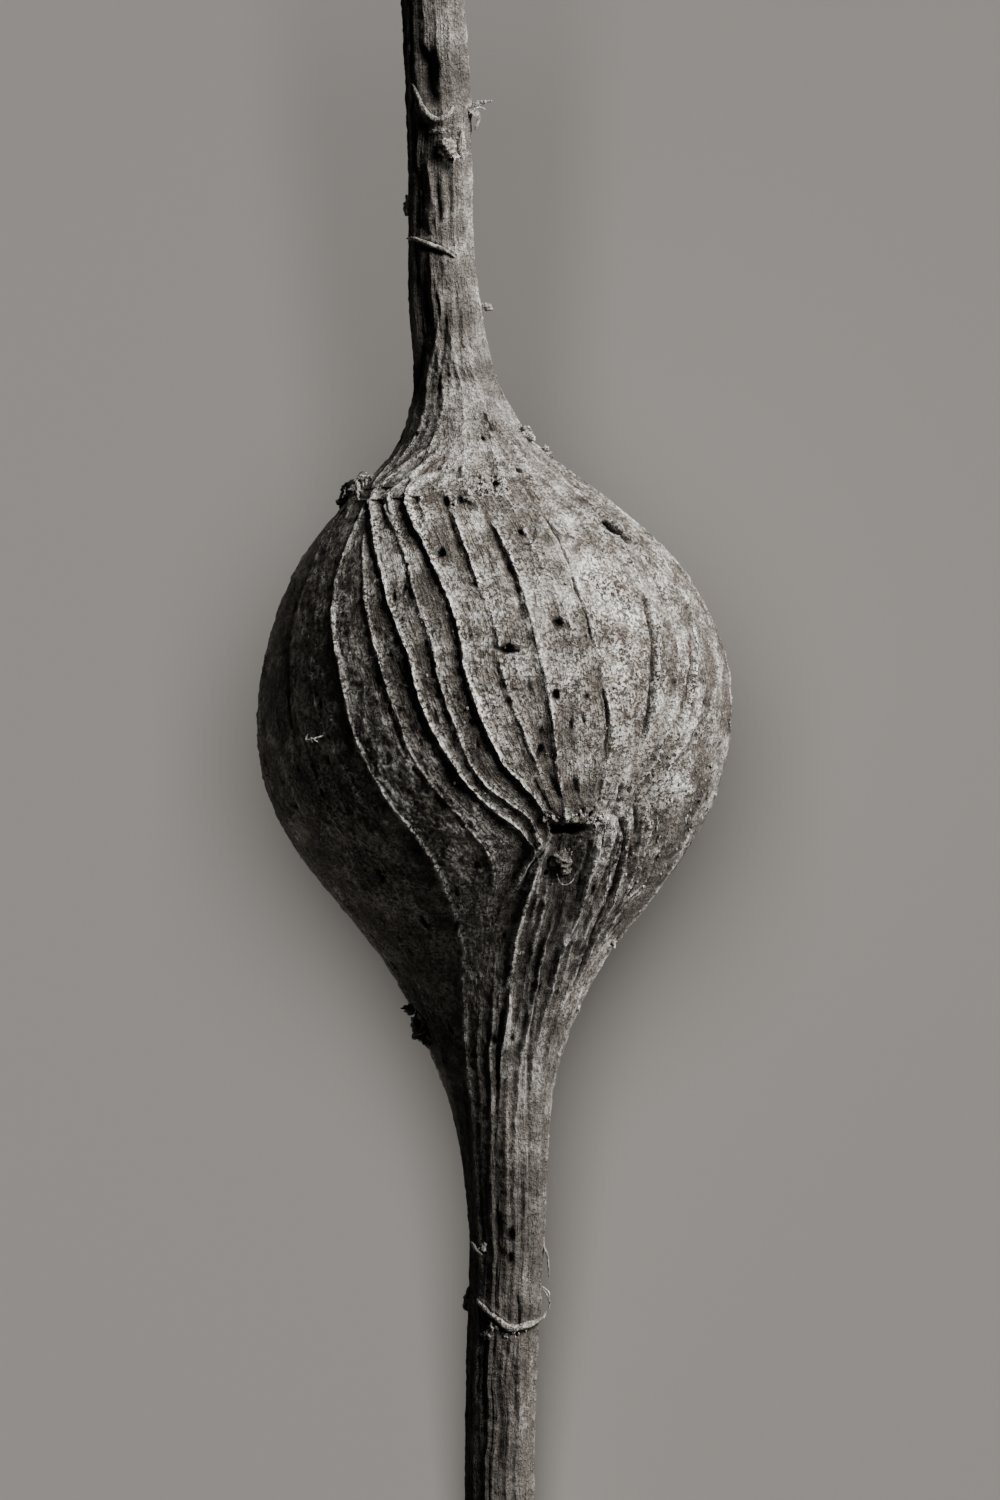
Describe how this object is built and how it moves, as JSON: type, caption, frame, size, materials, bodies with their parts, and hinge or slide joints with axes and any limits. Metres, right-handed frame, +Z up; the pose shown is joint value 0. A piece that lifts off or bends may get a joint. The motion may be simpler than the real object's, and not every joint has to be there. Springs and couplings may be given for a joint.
{
  "type": "goldenrod stem gall",
  "caption": "Dry plant stem lying down, with a round ribbed woody gall grown in its middle, leaf scars and buds along it, and plain cut ends.",
  "frame": {"origin": "centre of the bounding box on the surface that the gall lies on", "axes": "+Y along the stem towards its upper cut end, +Z up off the surface, +X to the right of the side that shows best"},
  "size_m": [0.0254, 0.0924, 0.0251],
  "materials": {
    "dry_stem": "matte weathered bark"
  },
  "bodies": {
    "root": {"stem_gall": "dry_stem"}
  },
  "joints": []
}
